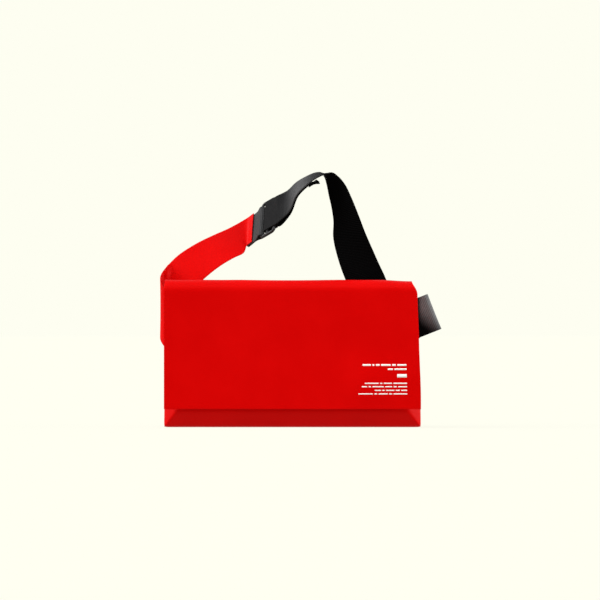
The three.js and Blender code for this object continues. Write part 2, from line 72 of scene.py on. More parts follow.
# %% Set up the camera
VIEW_WIDTH = 0.7956  # metres across the picture, at the front of the bag
VIEW_MIDDLE = Vector((0.010, 0, 0.1684))
DISTANCE = 12.0
SENSOR = 36.0
camera_data = bpy.data.cameras.new("camera")
camera_data.sensor_width = SENSOR
camera_data.lens = SENSOR * DISTANCE / VIEW_WIDTH
camera_data.clip_end = 100
camera = bpy.data.objects.new("camera", camera_data)
camera.location = VIEW_MIDDLE + Vector((0, -DISTANCE, 0))
camera.rotation_euler = (math.radians(90), 0, 0)
scene.collection.objects.link(camera)
scene.camera = camera
scene.view_settings.view_transform = "Standard"
print(f"lens {camera_data.lens:.0f} mm at {DISTANCE:.0f} m")

# %% Light the studio
WARM_WHITE = (0.991, 0.991, 0.880)


def add_sun(name, towards_light, strength, softness_degrees):
    data = bpy.data.lights.new(name, "SUN")
    data.energy = strength
    data.angle = math.radians(softness_degrees)
    light = bpy.data.objects.new(name, data)
    light.rotation_euler = Vector(towards_light).to_track_quat("Z", "Y").to_euler()
    scene.collection.objects.link(light)


add_sun("key light", (0.0, -0.62, 0.78), 0.9, 35)
add_sun("right fill", (0.97, -0.12, 0.2), 3.1, 50)
add_sun("left fill", (-0.8, -0.14, 0.58), 3.4, 50)
world = bpy.data.worlds.new("studio")
scene.world = world
world.use_nodes = True
world_nodes, world_links = world.node_tree.nodes, world.node_tree.links
world_nodes.clear()
seen = world_nodes.new("ShaderNodeBackground")
seen.inputs["Color"].default_value = (*WARM_WHITE, 1)
lighting = world_nodes.new("ShaderNodeBackground")
lighting.inputs["Color"].default_value = (1, 1, 1, 1)
lighting.inputs["Strength"].default_value = 0.38
path = world_nodes.new("ShaderNodeLightPath")
choose = world_nodes.new("ShaderNodeMixShader")
world_output = world_nodes.new("ShaderNodeOutputWorld")
world_links.new(path.outputs["Is Camera Ray"], choose.inputs[0])
world_links.new(lighting.outputs[0], choose.inputs[1])
world_links.new(seen.outputs[0], choose.inputs[2])
world_links.new(choose.outputs[0], world_output.inputs[0])

# %% Lay the floor
FLOOR_SIZE = 60.0
floor_mesh = bpy.data.meshes.new("floor")
corner = FLOOR_SIZE / 2
floor_mesh.from_pydata(
    [(-corner, -corner, 0), (corner, -corner, 0), (corner, corner, 0), (-corner, corner, 0)], [], [(0, 1, 2, 3)]
)
floor = bpy.data.objects.new("floor", floor_mesh)
floor.location.z = -0.0005
scene.collection.objects.link(floor)
floor_material = bpy.data.materials.new("floor")
floor_material.use_nodes = True
floor_nodes, floor_links = floor_material.node_tree.nodes, floor_material.node_tree.links
floor_shader = floor_nodes["Principled BSDF"]
floor_shader.inputs["Base Color"].default_value = (0.10, 0.10, 0.084, 1)
floor_shader.inputs["Roughness"].default_value = 1.0
floor_shader.inputs["Specular IOR Level"].default_value = 0.0
floor_shader.inputs["Emission Color"].default_value = (*WARM_WHITE, 1)
floor_path = floor_nodes.new("ShaderNodeLightPath")
floor_glow = floor_nodes.new("ShaderNodeMapRange")
floor_glow.inputs["To Min"].default_value = 0.62
floor_glow.inputs["To Max"].default_value = 0.865
floor_links.new(floor_path.outputs["Is Camera Ray"], floor_glow.inputs["Value"])
floor_links.new(floor_glow.outputs[0], floor_shader.inputs["Emission Strength"])
floor_mesh.materials.append(floor_material)

# %% [markdown]
# ## The places that everything is built from
# A bag maker would draw a side view first: where the back is, how far the front stands off it, and
# where the flap ends. The frame's boxes give these numbers, in metres.

# %% Read the bag's places from the frame
back_high = Vector(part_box("back_panel")[1])
front_low, front_high = (Vector(p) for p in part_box("front_panel"))
flap_low, flap_high = (Vector(p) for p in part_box("flap"))
HALF_WIDTH = back_high.x
BACK = back_high.y
TOP = back_high.z
FRONT = front_low.y
MOUTH = front_high.z
FLAP_FACE = flap_low.y
FLAP_END = flap_low.z
FLAP_TOP = flap_high.z
SLOPE_BACK = -BACK  # the front slopes back this far, to the base and to the sides
SLOPE_HEIGHT = 22 * MM
SLOPE_WIDTH = 17 * MM
COAT = 0.8 * MM  # thickness of the coated fabric
WEBBING = 1.4 * MM
HALF_STRAP = 25 * MM
print(f"bag {2000 * HALF_WIDTH:.0f} mm wide, {1000 * TOP:.0f} mm high, {1000 * (BACK - FRONT):.0f} mm deep")

# %% [markdown]
# ## Meshes from rows of points
# Sheets and straps are both grids: rows of points that are joined into four-sided faces. One helper
# makes the mesh from such grids and welds them where they meet. Others soften its folds, give the
# sheet its thickness, and store each point's place on the flat cloth, which the weave follows.


# %% Helpers that turn grids of points into meshes
def from_grids(name, grids, weld=0.05 * MM):
    """One mesh from several grids of points. Points closer than weld become one."""
    vertices, faces = [], []
    for grid in grids:
        columns = len(grid[0])
        for i in range(len(grid) - 1):
            for j in range(columns - 1):
                k = len(vertices) + i * columns + j
                faces.append((k, k + 1, k + columns + 1, k + columns))
        vertices += [tuple(point) for row in grid for point in row]
    mesh = bpy.data.meshes.new(name)
    mesh.from_pydata(vertices, [], faces)
    if len(grids) > 1:
        work = bmesh.new()
        work.from_mesh(mesh)
        bmesh.ops.remove_doubles(work, verts=work.verts, dist=weld)
        bmesh.ops.recalc_face_normals(work, faces=work.faces)
        work.to_mesh(mesh)
        work.free()
    mesh.shade_smooth()
    piece = bpy.data.objects.new(name, mesh)
    scene.collection.objects.link(piece)
    return piece


def soften(piece, rounds):
    """Rounds every fold of an open sheet; its rim stays where it is."""
    work = bmesh.new()
    work.from_mesh(piece.data)
    inside = [v for v in work.verts if not v.is_boundary]
    for _ in range(rounds):
        bmesh.ops.smooth_vert(
            work, verts=inside, factor=0.5, use_axis_x=True, use_axis_y=True, use_axis_z=True
        )
    work.to_mesh(piece.data)
    work.free()


def settle(piece):
    """Applies the piece's modifiers, so that its mesh is final."""
    graph = bpy.context.evaluated_depsgraph_get()
    mesh = bpy.data.meshes.new_from_object(piece.evaluated_get(graph))
    piece.modifiers.clear()
    piece.data = mesh
    return piece


def thicken(piece, thickness, softened_rim=True):
    """Gives a sheet its thickness, half to each side, with a softened cut edge."""
    solid = piece.modifiers.new("thickness", "SOLIDIFY")
    solid.thickness = thickness
    solid.offset = 0
    if softened_rim:
        bevel = piece.modifiers.new("cut edge", "BEVEL")
        bevel.width = thickness * 0.3
        bevel.segments = 2
        bevel.limit_method = "ANGLE"
        bevel.angle_limit = math.radians(70)
    return settle(piece)


def lay_out(piece, places):
    """Stores each point's place on the uncut cloth, in metres."""
    attribute = piece.data.attributes.new("cloth_place", "FLOAT_VECTOR", "POINT")
    attribute.data.foreach_set("vector", np.asarray(places, np.float32).ravel())


def smooth(low, high, value):
    """0 before low, 1 after high, and a soft rise between them; low may be above high."""
    t = min(1.0, max(0.0, (value - low) / (high - low)))
    return t * t * (3 - 2 * t)


# %% [markdown]
# ## Materials: what coated fabric looks like
# The coating is a satin plastic. It has a very fine pressed grain, a faint print of the cloth under
# it, and a soft sheen that breaks up where hands have rubbed it. Grain and rubbing also show on the
# slider and the thread, so both are node groups that each material places with its own values.


# %% Shader node helpers
def new_group(name, inputs, outputs):
    """An empty node group with named sockets: inputs are (name, type, default), outputs (name, type)."""
    group = bpy.data.node_groups.new(name, "ShaderNodeTree")
    for label, kind, default in inputs:
        socket = group.interface.new_socket(label, in_out="INPUT", socket_type=kind)
        if default is not None:
            socket.default_value = default
    for label, kind in outputs:
        group.interface.new_socket(label, in_out="OUTPUT", socket_type=kind)
    return group, group.nodes.new("NodeGroupInput"), group.nodes.new("NodeGroupOutput")


def math_node(nodes, links, operation, first, second=None, clamp=False):
    node = nodes.new("ShaderNodeMath")
    node.operation = operation
    node.use_clamp = clamp
    for socket, value in zip(node.inputs, (first, second)):
        if value is None:
            continue
        if isinstance(value, (int, float)):
            socket.default_value = value
        else:
            links.new(value, socket)
    return node.outputs[0]


def mix_colour(nodes, links, factor, first, second):
    node = nodes.new("ShaderNodeMix")
    node.data_type = "RGBA"
    for socket, value in ((node.inputs[0], factor), (node.inputs[6], first), (node.inputs[7], second)):
        if isinstance(value, (int, float)):
            socket.default_value = value
        elif isinstance(value, tuple):
            socket.default_value = value
        else:
            links.new(value, socket)
    return node.outputs[2]


# %% The pressed grain, as a group
def make_grain_group():
    """Fine bumps of a chosen size, with a broader unevenness under them, as a height and a mask."""
    group, start, end = new_group(
        "pressed grain",
        [("Grain size", "NodeSocketFloat", 0.0006), ("Unevenness size", "NodeSocketFloat", 0.03)],
        [("Height", "NodeSocketFloat"), ("Cloudiness", "NodeSocketFloat")],
    )
    nodes, links = group.nodes, group.links
    place = nodes.new("ShaderNodeTexCoord").outputs["Object"]
    fine = nodes.new("ShaderNodeTexVoronoi")
    fine.feature = "SMOOTH_F1"
    links.new(place, fine.inputs["Vector"])
    links.new(math_node(nodes, links, "DIVIDE", 1.0, start.outputs["Grain size"]), fine.inputs["Scale"])
    broad = nodes.new("ShaderNodeTexNoise")
    broad.inputs["Detail"].default_value = 3
    links.new(place, broad.inputs["Vector"])
    links.new(math_node(nodes, links, "DIVIDE", 1.0, start.outputs["Unevenness size"]), broad.inputs["Scale"])
    links.new(fine.outputs["Distance"], end.inputs["Height"])
    links.new(broad.outputs["Fac"], end.inputs["Cloudiness"])
    return group


# %% The print of the cloth under the coating, and the weave of the webbing, as a group
def make_weave_group():
    """Threads that cross at right angles: a height that rises and falls on a chosen thread spacing."""
    group, start, end = new_group(
        "woven threads",
        [
            ("Place", "NodeSocketVector", None),
            ("Spacing along", "NodeSocketFloat", 0.001),
            ("Spacing across", "NodeSocketFloat", 0.001),
        ],
        [("Height", "NodeSocketFloat"), ("Thread", "NodeSocketFloat")],
    )
    nodes, links = group.nodes, group.links
    split = nodes.new("ShaderNodeSeparateXYZ")
    links.new(start.outputs["Place"], split.inputs[0])
    turns = 2 * math.pi
    waves = []
    for axis, spacing in ((0, "Spacing along"), (1, "Spacing across")):
        count = math_node(nodes, links, "DIVIDE", split.outputs[axis], start.outputs[spacing])
        angle = math_node(nodes, links, "MULTIPLY", count, turns)
        waves.append(math_node(nodes, links, "SINE", angle))
    crossing = math_node(nodes, links, "MULTIPLY", waves[0], waves[1])
    height = math_node(nodes, links, "MULTIPLY_ADD", crossing, 0.5)
    height.node.inputs[2].default_value = 0.5
    links.new(height, end.inputs["Height"])
    thread = math_node(nodes, links, "MULTIPLY_ADD", waves[0], 0.5)
    thread.node.inputs[2].default_value = 0.5
    links.new(thread, end.inputs["Thread"])
    return group


grain_group = make_grain_group()
weave_group = make_weave_group()


def place_group(material, group, values):
    node = material.node_tree.nodes.new("ShaderNodeGroup")
    node.node_tree = group
    for label, value in values.items():
        node.inputs[label].default_value = value
    return node


def new_material(name):
    material = bpy.data.materials.new(name)
    material.use_nodes = True
    nodes = material.node_tree.nodes
    nodes.clear()
    output = nodes.new("ShaderNodeOutputMaterial")
    shader = nodes.new("ShaderNodeBsdfPrincipled")
    material.node_tree.links.new(shader.outputs[0], output.inputs[0])
    return material, shader


def add_bump(material, height, strength, distance, under=None):
    bump = material.node_tree.nodes.new("ShaderNodeBump")
    bump.inputs["Strength"].default_value = strength
    bump.inputs["Distance"].default_value = distance
    material.node_tree.links.new(height, bump.inputs["Height"])
    if under is not None:
        material.node_tree.links.new(under, bump.inputs["Normal"])
    return bump.outputs["Normal"]


# %% [markdown]
# ### Red coated fabric
# The red is deep and even. What tells the eye that it is coated cloth is small: the grain breaks up
# the sheen, the cloth's threads show through faintly, and the colour is a touch darker in broad
# clouds where the coating is thicker.


# %% Make the coated fabric
def make_coated_fabric():
    material, shader = new_material("red coated fabric")
    nodes, links = material.node_tree.nodes, material.node_tree.links
    grain = place_group(material, grain_group, {"Grain size": 0.0007, "Unevenness size": 0.045})
    weave = place_group(material, weave_group, {"Spacing along": 0.0011, "Spacing across": 0.0011})
    place = nodes.new("ShaderNodeAttribute")
    place.attribute_name = "cloth_place"
    links.new(place.outputs["Vector"], weave.inputs["Place"])
    thick, thin = (0.56, 0.0003, 0.0003, 1), (0.66, 0.0006, 0.0005, 1)
    colour = mix_colour(nodes, links, grain.outputs["Cloudiness"], thick, thin)
    links.new(colour, shader.inputs["Base Color"])
    wear_and_painted_sheen = nodes.new("ShaderNodeMapRange")
    wear_and_painted_sheen.inputs["From Min"].default_value = 0.35
    wear_and_painted_sheen.inputs["From Max"].default_value = 0.7
    wear_and_painted_sheen.inputs["To Min"].default_value = 0.40
    wear_and_painted_sheen.inputs["To Max"].default_value = 0.54
    links.new(grain.outputs["Cloudiness"], wear_and_painted_sheen.inputs["Value"])
    links.new(wear_and_painted_sheen.outputs[0], shader.inputs["Roughness"])
    shader.inputs["Specular IOR Level"].default_value = 0.24
    shader.inputs["Specular Tint"].default_value = (1.0, 0.06, 0.05, 1)
    cloth = add_bump(material, weave.outputs["Height"], 0.10, 0.00010)
    normal = add_bump(material, grain.outputs["Height"], 0.16, 0.00012, cloth)
    links.new(normal, shader.inputs["Normal"])
    return material


coated_fabric = make_coated_fabric()

# %% [markdown]
# ### Black webbing
# Webbing is woven in one go on a narrow loom. Its ribs run from edge to edge and are real relief, so
# they are in the mesh. The material adds the small threads on each rib.
# The webbing is almost black. On the arch near the slider and on the loop that sticks out at the
# side it is painted a lit grey with more sheen: a painted highlight where those places catch the
# light. A mask that is stored on the mesh says where that is, as a painter would mask it.


# %% Make the webbing
def make_webbing():
    material, shader = new_material("black webbing")
    nodes, links = material.node_tree.nodes, material.node_tree.links
    weave = place_group(material, weave_group, {"Spacing along": 0.0022, "Spacing across": 0.00125})
    grain = place_group(material, grain_group, {"Grain size": 0.0005, "Unevenness size": 0.02})
    place = nodes.new("ShaderNodeAttribute")
    place.attribute_name = "cloth_place"
    links.new(place.outputs["Vector"], weave.inputs["Place"])
    # Painted shade in the weave: both the black and the lit grey are darker in the grooves between the ribs and
    # lighter on their crests.
    deep, lit = (0.0010, 0.0010, 0.0010, 1), (0.0045, 0.0045, 0.0047, 1)
    new = mix_colour(nodes, links, weave.outputs["Thread"], deep, lit)
    # Painted highlight: where the mask stored on the mesh is high, the black turns to a lit grey and gains a
    # specular layer and sheen.
    grey, pale = (0.075, 0.075, 0.077, 1), (0.180, 0.180, 0.186, 1)
    painted_lit_grey = mix_colour(nodes, links, weave.outputs["Thread"], grey, pale)
    wear_and_painted_sheen = nodes.new("ShaderNodeAttribute")
    wear_and_painted_sheen.attribute_name = "wear_and_painted_sheen"
    uneven = math_node(nodes, links, "MULTIPLY_ADD", grain.outputs["Cloudiness"], 0.5)
    uneven.node.inputs[2].default_value = 0.75
    painted_highlight = math_node(nodes, links, "MULTIPLY", wear_and_painted_sheen.outputs["Fac"], uneven, clamp=True)
    links.new(mix_colour(nodes, links, painted_highlight, new, painted_lit_grey), shader.inputs["Base Color"])
    shader.inputs["Roughness"].default_value = 0.62
    links.new(math_node(nodes, links, "MULTIPLY", painted_highlight, 0.4), shader.inputs["Specular IOR Level"])
    links.new(math_node(nodes, links, "MULTIPLY", painted_highlight, 0.3), shader.inputs["Sheen Weight"])
    shader.inputs["Sheen Roughness"].default_value = 0.45
    threads = add_bump(material, weave.outputs["Height"], 0.7, 0.00025)
    normal = add_bump(material, grain.outputs["Height"], 0.25, 0.00012, threads)
    links.new(normal, shader.inputs["Normal"])
    return material


webbing_black = make_webbing()

# %% [markdown]
# ### Slider plastic, closure tape, thread and print
# The slider is moulded and has a slight texture with rubbed, shinier places. Closure tape is a
# dense pile. Thread is twisted, so a fine wave runs over it. The print is a thin matt white ink.


# %% Make the small materials
def make_grained(name, dark, light, roughness, grain_size, strength, distance, specular=0.5, sheen=0.0):
    """A plain moulded or printed finish: two close colours, cloudy roughness and a fine grain."""
    material, shader = new_material(name)
    nodes, links = material.node_tree.nodes, material.node_tree.links
    grain = place_group(material, grain_group, {"Grain size": grain_size, "Unevenness size": 0.012})
    colour = mix_colour(nodes, links, grain.outputs["Cloudiness"], (*dark, 1), (*light, 1))
    links.new(colour, shader.inputs["Base Color"])
    wear_and_painted_sheen = nodes.new("ShaderNodeMapRange")
    wear_and_painted_sheen.inputs["From Min"].default_value = 0.3
    wear_and_painted_sheen.inputs["From Max"].default_value = 0.7
    wear_and_painted_sheen.inputs["To Min"].default_value = roughness * 0.85
    wear_and_painted_sheen.inputs["To Max"].default_value = min(roughness * 1.2, 1.0)
    links.new(grain.outputs["Cloudiness"], wear_and_painted_sheen.inputs["Value"])
    links.new(wear_and_painted_sheen.outputs[0], shader.inputs["Roughness"])
    shader.inputs["Specular IOR Level"].default_value = specular
    shader.inputs["Sheen Weight"].default_value = sheen
    links.new(add_bump(material, grain.outputs["Height"], strength, distance), shader.inputs["Normal"])
    return material


slider_plastic = make_grained(
    "slider plastic", (0.006, 0.006, 0.0065), (0.012, 0.012, 0.013), 0.42, 0.0004, 0.12, 0.00008, 0.3
)
closure_tape = make_grained(
    "closure tape", (0.008, 0.008, 0.008), (0.022, 0.022, 0.023), 0.95, 0.0006, 0.9, 0.0005, 0.2, 0.4
)
red_thread = make_grained("red thread", (0.42, 0.002, 0.002), (0.6, 0.004, 0.003), 0.6, 0.00025, 0.6, 0.0001)
black_thread = make_grained(
    "black thread", (0.006, 0.006, 0.006), (0.02, 0.02, 0.021), 0.6, 0.00025, 0.6, 0.0001
)
print_ink = make_grained("white print", (0.86, 0.85, 0.82), (0.95, 0.94, 0.92), 0.6, 0.0004, 0.1, 0.00004, 0.3)


def dress(piece, material):
    piece.data.materials.clear()
    piece.data.materials.append(material)
    return piece


# %% [markdown]
# ## How the empty bag leans and swells
# A bag with nothing in it doesn't stay a box. Its right side leans in towards the top, where the
# strap pulls on it, and the top corner rounds over. The flap hangs from the fold in slow waves. At
# its lower right it stands off, because the closure behind it holds it there.
# A cloth simulation would give such shapes too, but a stiff sheet moves so little that a few slow
# waves, written down, do the same and can be placed where they belong.


# %% The lean and the waves
def lean(point):
    """Moves a point of the pouch or flap inwards, at the right and towards the top."""
    x, y, z = point
    rise = 2.6 * smooth(35, 125, z / MM) + 2.0 * smooth(110, 178, z / MM) + 7.5 * smooth(176, 196, z / MM)
    share = smooth(110 * MM, HALF_WIDTH, x)
    left = 1.2 * smooth(184, 196, z / MM) * smooth(-140 * MM, -HALF_WIDTH, x)
    return Vector((x - rise * MM * share + left * MM, y, z - 1.6 * MM * share * smooth(184, 195, z / MM)))


def flap_swell(x, z):
    """How far the hanging flap stands forward of its flat place."""
    hanging = smooth(TOP, TOP - 70 * MM, z)
    low = smooth(120 * MM, FLAP_END, z)
    slow = 0.9 * math.sin(x * 19 + 0.6) + 0.5 * math.sin(x * 37 + z * 14 + 1.9)
    ripple = 1.4 * noise.noise(Vector((x * 11, 0.3, z * 9)))
    pillow = 5.0 * math.exp(-(((x - 104 * MM) / (36 * MM)) ** 2) - ((z - 58 * MM) / (34 * MM)) ** 2)
    hang = low * (1.2 + 0.9 * math.sin(x * 17 + 1.4))
    return MM * (hanging * (0.4 * slow + ripple) + pillow + hang)


def back_dip(x, z):
    """How far the back panel dips inwards; it never stands out, because the strap's ends lie on it."""
    inside = smooth(0, 40 * MM, z) * smooth(TOP, TOP - 40 * MM, z)
    inside *= smooth(HALF_WIDTH, HALF_WIDTH - 45 * MM, abs(x))
    return MM * inside * (0.9 + 0.9 * noise.noise(Vector((x * 9, 4.1, z * 9))))


# %% [markdown]
# ## The back and the flap: one sheet
# On the real bag one long piece of coated fabric is the back, runs over the top and hangs down the
# front as the flap. It could be a box with its corners rounded, but it only reads as cloth if it is
# a sheet: a grid that follows a line in the side view. The line is walked at even steps, so that the
# grid is even over the folds as well.

# %% The side-view line of the back and the flap
FLAP_CORNER = 15 * MM  # radius of the fold at the top front
BACK_CREASE = 2.5 * MM  # the fold over the back edge is tight
SHEET_STEP = 2.5 * MM


def arc(centre, radius, from_degrees, to_degrees, steps):
    angles = np.radians(np.linspace(from_degrees, to_degrees, steps + 1))
    return [(centre[0] + radius * math.cos(a), centre[1] + radius * math.sin(a)) for a in angles]


def walk(points, step):
    """The same line with its points at even steps, and how far along it each one is."""
    points = np.array(points, float)
    lengths = np.concatenate([[0], np.cumsum(np.linalg.norm(np.diff(points, axis=0), axis=1))])
    even = np.linspace(0, lengths[-1], max(2, round(lengths[-1] / step) + 1))
    return np.stack([np.interp(even, lengths, points[:, k]) for k in range(points.shape[1])], axis=1), even


back_y = BACK - COAT / 2
face_y = FLAP_FACE + COAT / 2
crown_z = FLAP_TOP - COAT / 2
over_back = TOP + 0.3 * MM + COAT / 2
side_line = (
    [(back_y, 0.4 * MM)]
    + arc((back_y - BACK_CREASE, over_back - BACK_CREASE), BACK_CREASE, 0, 80, 6)
    + arc((face_y + FLAP_CORNER, crown_z - FLAP_CORNER), FLAP_CORNER, 92, 180, 14)
    + [(face_y, FLAP_END)]
)
side_points, side_lengths = walk(side_line, SHEET_STEP)


# %% Build the back and the flap
def on_sheet(x, y, z):
    """A point of the flat side-view line, moved to where the soft sheet lies."""
    if y > 0 and z < TOP:
        return lean((x, y - back_dip(x, z), z))
    sag = 0.9 * MM * smooth(FLAP_FACE, FLAP_FACE + 12 * MM, y) * abs(noise.noise(Vector((x * 12, 1.7, y * 20))))
    return lean((x, y - flap_swell(x, z), z - sag))


columns = np.linspace(-HALF_WIDTH, HALF_WIDTH, 137)
back_and_flap = from_grids("back_and_flap", [[[on_sheet(x, y, z) for x in columns] for y, z in side_points]])
lay_out(back_and_flap, [(x, length, 0) for length in side_lengths for x in columns])
thicken(back_and_flap, COAT)
dress(back_and_flap, coated_fabric)
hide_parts("back_panel", "flap")
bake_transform(back_and_flap)
print("back and flap:", len(back_and_flap.data.polygons), "faces")

# %% [markdown]
# ## The front, sides and base: one folded shell
# The rest of the pouch is a second cut. Its front slopes back at the bottom and at the sides, which
# gives the mitred creases at the lower corners. It is made of five grids: the front, a slope and a
# side wall at each side, and the base, welded where they meet. Softening the welded mesh rounds the
# folds, as thick coated fabric does. The side walls sink in a little, because nothing fills the bag.

# %% Build the pouch
FRONT_COLUMNS, SLOPE_COLUMNS, SIDE_COLUMNS = 120, 8, 12
edge = HALF_WIDTH - COAT / 2
heights = np.concatenate([np.linspace(COAT / 2, SLOPE_HEIGHT, 11), np.linspace(SLOPE_HEIGHT, MOUTH, 70)[1:]])


def across_pouch(start, end, count, z, sink=0.0):
    """A row of points between two corners of the outline, sinking inwards between them."""
    row = []
    for t in np.linspace(0, 1, count):
        x = start[0] + (end[0] - start[0]) * t
        y = start[1] + (end[1] - start[1]) * t
        x -= math.copysign(sink * math.sin(math.pi * t), x) * smooth(5 * MM, 60 * MM, z)
        row.append(lean((x, y, z)))
    return row


front_grid, slope_grids, side_grids = [], ([], []), ([], [])
for z in heights:
    share = min(1.0, (z - COAT / 2) / (SLOPE_HEIGHT - COAT / 2))
    front_x = edge - SLOPE_WIDTH * share
    front_y = SLOPE_BACK + (FRONT + COAT / 2 - SLOPE_BACK) * share
    front_grid.append(across_pouch((-front_x, front_y), (front_x, front_y), FRONT_COLUMNS, z))
    for side, sign in enumerate((-1, 1)):
        front_corner, side_corner = (sign * front_x, front_y), (sign * edge, SLOPE_BACK)
        back_corner = (sign * edge, BACK - COAT - 0.3 * MM)
        slope_grids[side].append(across_pouch(front_corner, side_corner, SLOPE_COLUMNS, z, 0.6 * MM))
        side_grids[side].append(across_pouch(side_corner, back_corner, SIDE_COLUMNS, z, 2.2 * MM))
base_grid = [
    [lean((x, y, COAT / 2)) for x in np.linspace(-edge, edge, FRONT_COLUMNS)]
    for y in np.linspace(SLOPE_BACK, BACK - COAT - 0.3 * MM, SIDE_COLUMNS)
]
pouch_shell = from_grids("pouch_shell", [front_grid, *slope_grids, *side_grids, base_grid])
soften(pouch_shell, 3)
lay_out(pouch_shell, [(v.co.x + v.co.y, v.co.z + v.co.y, 0) for v in pouch_shell.data.vertices])
thicken(pouch_shell, COAT)
dress(pouch_shell, coated_fabric)
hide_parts("front_panel", "side_gusset_left", "side_gusset_right")
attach(pouch_shell, "pouch")

# %% [markdown]
# ## The hem inside the mouth
# The front panel's upper edge is turned in and sewn down, which stiffens the mouth. It is a narrow
# band just inside the panel, and its seam is a row of stitches.

# %% Build the mouth hem
hem_low, hem_high = (Vector(p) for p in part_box("mouth_hem"))
hem_y = (hem_low.y + hem_high.y) / 2
hem_xs = np.linspace(hem_low.x, hem_high.x, 110)
hem_zs = np.linspace(hem_low.z, hem_high.z - 0.3 * MM, 9)
mouth_hem = from_grids("mouth_hem_band", [[[lean((x, hem_y, z)) for x in hem_xs] for z in hem_zs]])
lay_out(mouth_hem, [(x, z, 0) for z in hem_zs for x in hem_xs])
thicken(mouth_hem, COAT)
dress(mouth_hem, coated_fabric)
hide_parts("mouth_hem")
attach(mouth_hem, "pouch")

# %% [markdown]
# ## Thread
# Every seam is a row of short stitches. Each stitch is a little bar of thread that dips into the
# fabric at both ends, so it is drawn as a six-sided tube that is thick in the middle. One helper
# lays stitches along a line, and all of a seam's stitches are one mesh.


# %% The stitching helper
STITCH = 3.0 * MM
STITCH_GAP = 0.9 * MM
THREAD_RADIUS = 0.32 * MM


def stitch_tube(start, end, out):
    """Rings of points of one stitch from start to end; out is the direction off the fabric."""
    along = (end - start).normalized()
    side = along.cross(out).normalized()
    profile = ((0, 0.35, -0.9), (0.12, 0.85, 0.0), (0.5, 1.0, 0.35), (0.88, 0.85, 0.0), (1, 0.35, -0.9))
    rings = []
    for t, size, rise in profile:
        middle = start.lerp(end, t) + out * (rise * THREAD_RADIUS)
        angles = [math.tau * k / 6 for k in range(6)]
        ring = [middle + (side * math.cos(a) + out * math.sin(a)) * (size * THREAD_RADIUS) for a in angles]
        rings.append(ring)
    return rings


def sew(name, lines, material, body, replaced=None):
    """lines are (points, outward direction); the stitches of all of them make one mesh."""
    vertices, faces = [], []
    for points, out in lines:
        line, _ = walk(points, 0.5 * MM)
        line = [Vector(p) for p in line]
        count = max(1, int((len(line) * 0.5 * MM) / (STITCH + STITCH_GAP)))
        for i in range(count):
            start = line[int(i * (len(line) - 1) / count)]
            whole = line[int((i + 1) * (len(line) - 1) / count)]
            end = start.lerp(whole, STITCH / (STITCH + STITCH_GAP))
            first = len(vertices)
            rings = stitch_tube(start, end, out)
            vertices += [tuple(p) for ring in rings for p in ring]
            for r in range(len(rings) - 1):
                for k in range(6):
                    a, b = first + 6 * r + k, first + 6 * r + (k + 1) % 6
                    faces.append((a, b, b + 6, a + 6))
            faces.append(tuple(first + k for k in reversed(range(6))))
            last = first + 6 * (len(rings) - 1)
            faces.append(tuple(last + k for k in range(6)))
    mesh = bpy.data.meshes.new(name)
    mesh.from_pydata(vertices, [], faces)
    mesh.shade_smooth()
    seam = bpy.data.objects.new(name, mesh)
    scene.collection.objects.link(seam)
    dress(seam, material)
    if replaced:
        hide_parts(replaced)
    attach(seam, body)
    print(f"{name}: {len(vertices) // 30} stitches")
    return seam


seam_y = hem_y + COAT / 2 + THREAD_RADIUS * 0.4
seam_z = hem_low.z + 3 * MM
seam_line = [lean((x, seam_y, seam_z)) for x in hem_xs]
sew("mouth_seam", [(seam_line, Vector((0, 1, 0)))], red_thread, "pouch")

# %% [markdown]
# ## The closure strips
# The flap is held by two pairs of strips with a dense pile. Each is a thin block with rounded
# edges, and its outer face is uneven, as pile is. The unevenness is real relief on a fine grid.


# %% Build the closure strips
def closure_strip(node, body, pile_towards):
    low, high = (Vector(p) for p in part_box(node))
    xs = np.linspace(low.x, high.x, 140)
    zs = np.linspace(low.z, high.z, 40)
    rows = []
    for z in zs:
        row = []
        for x in xs:
            rim = min(x - low.x, high.x - x, z - low.z, high.z - z)
            edge_drop = 0.25 * MM * (1 - smooth(0, 1.2 * MM, rim))
            fuzz = 0.16 * MM * noise.noise(Vector((x * 1400, low.y * 300, z * 1400)))
            row.append((x, (low.y + high.y) / 2 + pile_towards * (fuzz - edge_drop), z))
        rows.append(row)
    strip = from_grids(node + "_pile", [rows])
    lay_out(strip, [(x, z, 0) for z in zs for x in xs])
    thicken(strip, (high.y - low.y) * 0.8)
    dress(strip, closure_tape)
    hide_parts(node)
    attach(strip, body)


for side in ("left", "right"):
    closure_strip(f"loop_strip_{side}", "pouch", -1)
    closure_strip(f"hook_strip_{side}", "flap", 1)
print("closure: two pairs of strips")

# %% [markdown]
# ## Straps: ribbons through stations
# A strap is a flat band that bends and twists through space. It is drawn as a list of stations: the
# middle of the strap, and the direction across it. A smooth curve runs through the middles and
# another through the edges, and the band lies between them.
# Where the strap folds back on itself, the half turn about the fold line is worked out.


# %% Curves and stations
def station(middle, across, half_width=HALF_STRAP):
    return Vector(middle), Vector(across).normalized() * half_width


def through(points, steps):
    """A centripetal Catmull-Rom curve through points, with steps pieces between each two of them."""
    points = [Vector(p) for p in points]
    first, last = points[0] * 2 - points[1], points[-1] * 2 - points[-2]
    whole = [first] + points + [last]
    curve = []
    for i in range(1, len(whole) - 2):
        p0, p1, p2, p3 = whole[i - 1:i + 3]
        t1 = max((p1 - p0).length, 1e-9) ** 0.5
        t2 = t1 + max((p2 - p1).length, 1e-9) ** 0.5
        t3 = t2 + max((p3 - p2).length, 1e-9) ** 0.5
        for k in range(steps):
            t = t1 + (t2 - t1) * k / steps
            a1 = p0.lerp(p1, t / t1)
            a2 = p1.lerp(p2, (t - t1) / (t2 - t1))
            a3 = p2.lerp(p3, (t - t2) / (t3 - t2))
            b1 = a1.lerp(a2, t / t2)
            b2 = a2.lerp(a3, (t - t1) / (t3 - t1))
            curve.append(b1.lerp(b2, (t - t1) / (t2 - t1)))
    curve.append(points[-1])
    return curve


